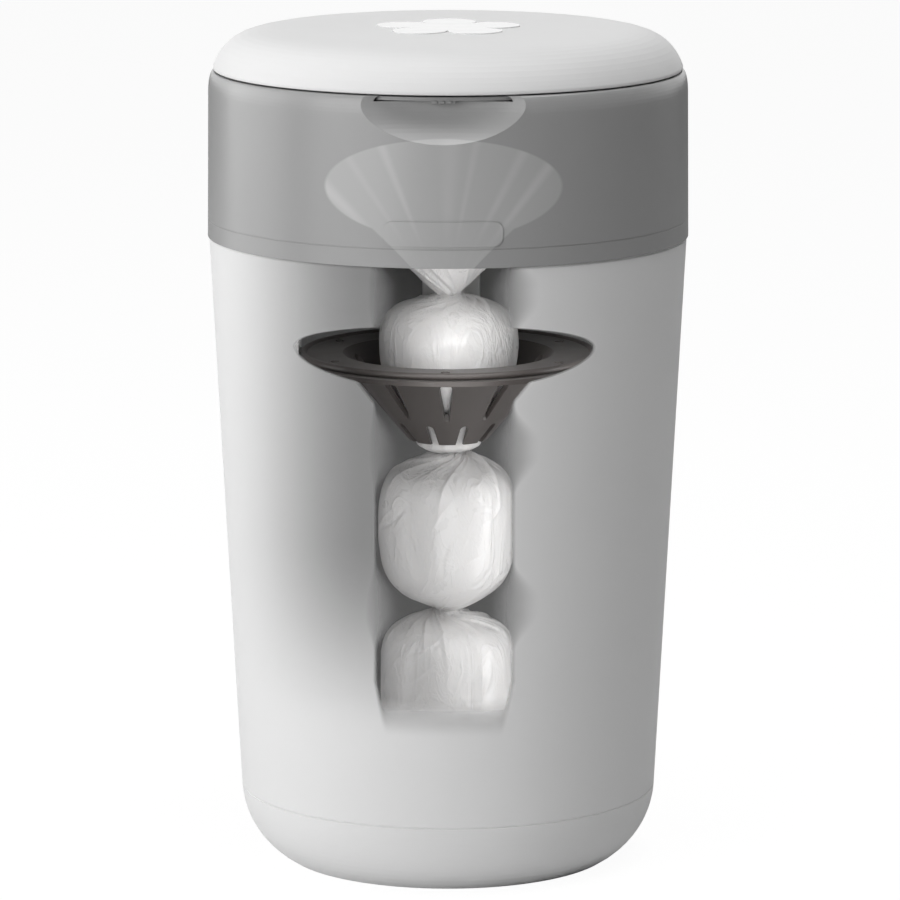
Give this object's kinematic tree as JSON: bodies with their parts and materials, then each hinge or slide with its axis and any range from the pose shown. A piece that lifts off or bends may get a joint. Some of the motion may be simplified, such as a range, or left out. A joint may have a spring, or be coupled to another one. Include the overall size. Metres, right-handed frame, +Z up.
{
  "type": "nappy bin",
  "caption": "Round tapered nappy bin with a hinged head, a hinged domed lid, a twist ring with a film cassette and a soft gripper that holds each wrapped nappy.",
  "frame": {"origin": "centre of the flat underside on the floor, under the bin's axis", "axes": "+Z up, front with the scoop towards -Y, hinges at +Y, +X to the right seen from the front"},
  "size_m": [0.258, 0.2671, 0.4515],
  "materials": {
    "white_shell": "smooth white moulding with a soft gloss",
    "grey_band": "smooth mid grey moulding, satin",
    "inner_white": "satin white moulding",
    "inner_grey": "satin grey moulding",
    "gripper_rubber": "dark warm grey soft rubber",
    "film": "thin milky film, gathered in folds",
    "steel": "drawn steel",
    "ornament": "glossy white inlay"
  },
  "bodies": {
    "tub": {"tub": "white_shell", "base_cup": "white_shell", "head_hinge_pin": "steel", "pouch_middle": "film", "pouch_lower": "film", "film_tail": "film"},
    "head": {"head_shell": "grey_band", "label_panel": "grey_band", "deck": "grey_band", "carrier": "inner_white", "carrier_screws": "steel", "gripper_ring": "gripper_rubber", "gripper_disc": "gripper_rubber", "gripper_pins": "gripper_rubber", "cutter_housing": "inner_grey", "cutter_blade": "steel", "click_pawl": "inner_white", "head_catches": "inner_grey", "lid_hinge_pin": "steel", "pouch_upper": "film"},
    "ring": {"twist_ring": "inner_white", "cassette_body": "inner_white", "cassette_cover": "inner_grey", "film_pack": "film", "film_funnel": "film"},
    "lid": {"lid_shell": "white_shell", "lid_liner": "inner_grey", "lid_seal": "gripper_rubber", "lid_screws": "steel", "lid_catch": "inner_grey", "lid_ornament": "ornament"}
  },
  "joints": [
    {"name": "head_hinge", "type": "hinge", "parent": "tub", "child": "head", "pos_m": [0, 0.1334, 0.3395], "axis": [-1, 0, 0], "range_deg": [0, 95]},
    {"name": "lid_hinge", "type": "hinge", "parent": "head", "child": "lid", "pos_m": [0, 0.1288, 0.431], "axis": [-1, 0, 0], "range_deg": [0, 100]},
    {"name": "ring_twist", "type": "hinge", "parent": "head", "child": "ring", "pos_m": [0, 0, 0.36], "axis": [0, 0, -1], "continuous": true}
  ]
}
